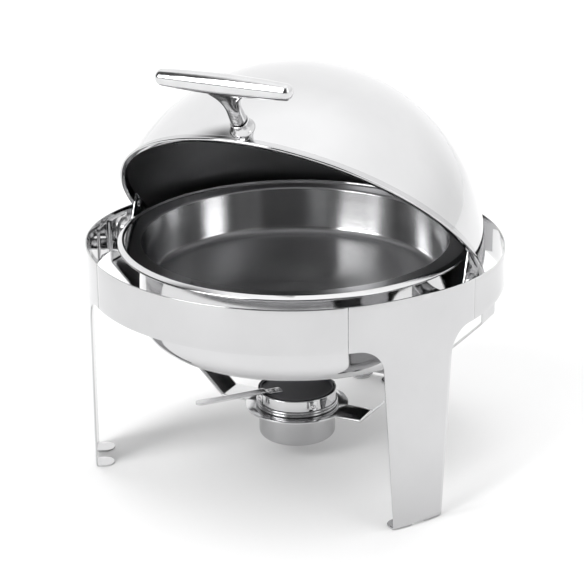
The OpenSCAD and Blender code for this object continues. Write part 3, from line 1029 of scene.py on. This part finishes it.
CUP_R = 43 * MM
CUP_SHEET = 1 * MM
bead_h = 3.2 * MM
bead_out = high("burner_cup").x
strap_top = STRAP_LOW + STRAP_SHEET
path = [Vector((0, CUP_LOW))] + arc2(CUP_R - 6 * MM, CUP_LOW + 6 * MM, 6 * MM, -90, 0, 8)
path += [Vector((CUP_R, strap_top - 0.3 * MM))]
for k in (0, 1):
    path += arc2(bead_out - bead_h / 2, strap_top + (k + 0.5) * bead_h, bead_h / 2, -78, 78, 9)
path += [Vector((CUP_R, strap_top + 2 * bead_h + 0.1 * MM)), Vector((CUP_R, CUP_TOP))]
cup_in = CUP_R - CUP_SHEET
inner = [Vector((cup_in, CUP_TOP)), Vector((cup_in, CUP_LOW + 8 * MM))]
inner += arc2(CUP_R - 6 * MM, CUP_LOW + 6 * MM, 5 * MM, 0, -90, 8)
inner.append(Vector((0, CUP_LOW + CUP_SHEET)))
piece(lathe("fuel_cup", path + inner, 160), CUP, "burner", ["burner_cup"])

lo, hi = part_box("burner_ring")
out = hi.x
rim = 1.6 * MM
path = rounded([(out, lo.z), (out, RING_TOP), (out - rim, RING_TOP), (out - rim, RING_TOP - rim)],
               [0.7 * MM, 0.5 * MM], 4)
ring_in, ledge_in, ledge_low = out - CUP_SHEET, CUP_R - 4 * MM, COVER_Z - CUP_SHEET
inner = [Vector((ring_in, RING_TOP - 1.8 * MM)), Vector((ring_in, COVER_Z)),
         Vector((ledge_in, COVER_Z)), Vector((ledge_in, ledge_low)),
         Vector((ring_in, ledge_low)), Vector((ring_in, lo.z))]
piece(lathe("burner_top_ring", path + inner, 160), STEEL, "burner", ["burner_ring"])

piece(refined("burner_clip_plates", "burner_clips", 0.25 * MM), STEEL, "burner", ["burner_clips"])
heads = []
for lo, hi in islands("clip_rivets"):
    mid = (lo + hi) / 2
    out = Vector((mid.x, mid.y, 0)).normalized()
    seat = out * (CUP_R + 2.4 * MM) + Vector((0, 0, mid.z))
    heads.append(rivet("rivet", facing(seat, out), 2.6 * MM, 1.2 * MM, (1.5 * MM, 0.8 * MM)))
piece(shaded(joined("clip_rivet_heads", heads), 40), BRIGHT, "burner", ["clip_rivets"])


# ---- burner cover ----

cover_r = high("burner_cover").x
cover_top = high("burner_cover").z
COVER_SHEET = 1.2 * MM
cover_lip = cover_r - 1.3 * MM
base = COVER_Z + COVER_SHEET
path = [(0, COVER_Z), (cover_r, COVER_Z), (cover_r, cover_top), (cover_lip, cover_top),
        (cover_lip, base), (cover_r - 9 * MM, base), (0, base)]
section = rounded(path, [0.6 * MM, 0.5 * MM, 0.5 * MM, 0.5 * MM, 0.3 * MM], 4)
piece(lathe("burner_lid", section, 160), COVER, "burner_cover", ["burner_cover"])

# the lever is drawn along X, then turned to point to the front left
LEVER_TURN = Matrix.Rotation(math.radians(-130), 4, "Z")
half_w, thick = 6 * MM, 1.6 * MM
level = LEVER_TOP - thick
reach = 122 * MM
line = rounded([(20 * MM, base + thick), (35.4 * MM, base + thick), (38.4 * MM, level + thick),
                (reach, level + thick)], [3 * MM, 3 * MM], 5)
dense = []
for a, b in zip(line, line[1:]):
    n = max(1, int((b - a).length / (4 * MM)))
    dense += [a.lerp(b, k / n) for k in range(n)]
dense.append(line[-1])
dense = [p for p in dense if p.x < reach - half_w - 0.5 * MM]
dense += [Vector((reach - half_w + half_w * math.sin(math.radians(a)), level + thick))
          for a in (0, 15, 30, 45, 60, 72, 82, 88)]
rows = []
for p in dense:
    w = half_w
    if p.x > reach - half_w:
        w = half_w * math.sqrt(max(0.0, 1 - ((p.x - reach + half_w) / half_w) ** 2)) + 1e-5
    rows.append([Vector((p.x, w * (j / 4 - 1), p.y)) for j in range(9)])
obj = grid("cover_lever_bar", rows)
bm = bmesh.new()
bm.from_mesh(obj.data)
if sum(f.normal.z for f in bm.faces) < 0:
    bmesh.ops.reverse_faces(bm, faces=bm.faces)
bm.to_mesh(obj.data)
bm.free()
obj.data.transform(LEVER_TURN)
piece(edged(thickened(obj, thick), 0.35 * MM), STRAP, "burner_cover", ["cover_lever"])
heads = []
for lo, hi in islands("lever_rivets"):
    mid = (lo + hi) / 2
    seat = Vector((mid.x, mid.y, base + thick))
    heads.append(rivet("rivet", Matrix.Translation(seat), 2.8 * MM, 1.2 * MM,
                       (1.4 * MM, seat.z - COVER_Z)))
piece(shaded(joined("lever_rivet_heads", heads), 40), BRIGHT, "burner_cover", ["lever_rivets"])


# ---- stage, light and camera ----

def floor_material():
    n = Nodes("studio_floor")
    soft = n.noise(1.5, 3, 0.5)
    colour = n.mix(soft, (0.84, 0.84, 0.84, 1), (0.87, 0.87, 0.87, 1))
    return n.finish(colour, n.spread(soft, 0.3, 0.7, 0.75, 0.85), n.bump(soft, 0.02 * MM), 0.0)


far = 14
FLOOR_DROP = 0.2 * MM
corners = [(-far, -far, 0), (far, -far, 0), (far, far, 0), (-far, far, 0)]
floor = mesh_of("studio_floor", corners, [(0, 1, 2, 3)], False)
floor.data.materials.append(floor_material())
floor.location.z = cad_box[0].z - FLOOR_DROP

scene = bpy.context.scene
scene.view_settings.view_transform = "Standard"
world = bpy.data.worlds.new("studio")
scene.world = world
world.use_nodes = True
tree = world.node_tree
back = tree.nodes["Background"]
coords = tree.nodes.new("ShaderNodeTexCoord")
split = tree.nodes.new("ShaderNodeSeparateXYZ")
tree.links.new(coords.outputs["Generated"], split.inputs[0])


def calc(kind, a, b=0.0):
    node = tree.nodes.new("ShaderNodeMath")
    node.operation = kind
    for socket, value in zip(node.inputs, (a, b)):
        if isinstance(value, (int, float)):
            socket.default_value = value
        else:
            tree.links.new(value, socket)
    return node.outputs[0]


def step(value, start, end):
    """0 before start, 1 after end, and a soft edge between."""
    node = tree.nodes.new("ShaderNodeMapRange")
    node.interpolation_type = "SMOOTHSTEP"
    node.inputs["From Min"].default_value = start
    node.inputs["From Max"].default_value = end
    tree.links.new(value, node.inputs["Value"])
    return node.outputs["Result"]


def window(value, start, end, soft):
    return calc("MULTIPLY", step(value, start - soft, start + soft),
                calc("SUBTRACT", 1.0, step(value, end - soft, end + soft)))


# Directions in degrees: round from the front towards the right, and above the horizon
backwards = calc("MULTIPLY", split.outputs[1], -1.0)
round_by = calc("MULTIPLY", calc("ARCTAN2", split.outputs[0], backwards), 180 / math.pi)
above_by = calc("MULTIPLY", calc("ARCSINE", split.outputs[2]), 180 / math.pi)
# How strongly the room is darkened and the soft boxes and the sky shine
DARKNESS, FRONT_LIGHT, SIDE_LIGHT = 0.93, 7.2, 0.95
SKY_LIGHT, ZENITH_LIGHT, RIGHT_SHADE = 1.24, 0.2, 0.22
dark_room = calc("MULTIPLY", window(round_by, -95, 70, 9), window(above_by, -8, 62, 9))
front_box = calc("MULTIPLY", window(round_by, -42, -10, 3), window(above_by, 8, 58, 4))
bright_half = window(round_by, 70, 89, 3)
dim_half = calc("MULTIPLY", window(round_by, 53, 70, 3), 0.4)
side_box = calc("MULTIPLY", calc("ADD", bright_half, dim_half), window(above_by, 5, 50, 4))
sky = calc("ADD", SKY_LIGHT, calc("MULTIPLY", step(above_by, 40, 80), ZENITH_LIGHT))
low_shade = calc("MULTIPLY", RIGHT_SHADE, window(above_by, -30, 18, 14))
sky = calc("SUBTRACT", sky, calc("MULTIPLY", window(round_by, 95, 165, 20), low_shade))
level = calc("MULTIPLY", sky, calc("SUBTRACT", 1.0, calc("MULTIPLY", dark_room, DARKNESS)))
level = calc("ADD", level, calc("MULTIPLY", front_box, FRONT_LIGHT))
level = calc("ADD", level, calc("MULTIPLY", side_box, SIDE_LIGHT))
tree.links.new(level, back.inputs["Strength"])
back.inputs["Color"].default_value = (1.0, 1.0, 1.0, 1)


def area(name, at, size, power, aim_at=(0, 0, 0.2)):
    data = bpy.data.lights.new(name, "AREA")
    data.shape = "RECTANGLE"
    data.size, data.size_y = size
    data.energy = power
    obj = bpy.data.objects.new(name, data)
    obj.location = at
    obj.rotation_euler = (Vector(aim_at) - Vector(at)).to_track_quat("-Z", "Y").to_euler()
    obj.visible_glossy = False
    scene.collection.objects.link(obj)
    return obj


area("key", (-0.6, 0.9, 3.0), (2.4, 2.0), 20)

# where the camera stands, and its turn in degrees about X, Y and Z
EYE_AT = (0.963568, -1.942130, 1.025086)
EYE_TURN = (68.9347, 0.6184, 26.2618)
camera = bpy.data.cameras.new("camera")
camera.lens = 129.16
camera.sensor_width = 36
camera.clip_end = 100
eye = bpy.data.objects.new("camera", camera)
scene.collection.objects.link(eye)
eye.location = EYE_AT
eye.rotation_euler = [math.radians(a) for a in EYE_TURN]
scene.camera = eye
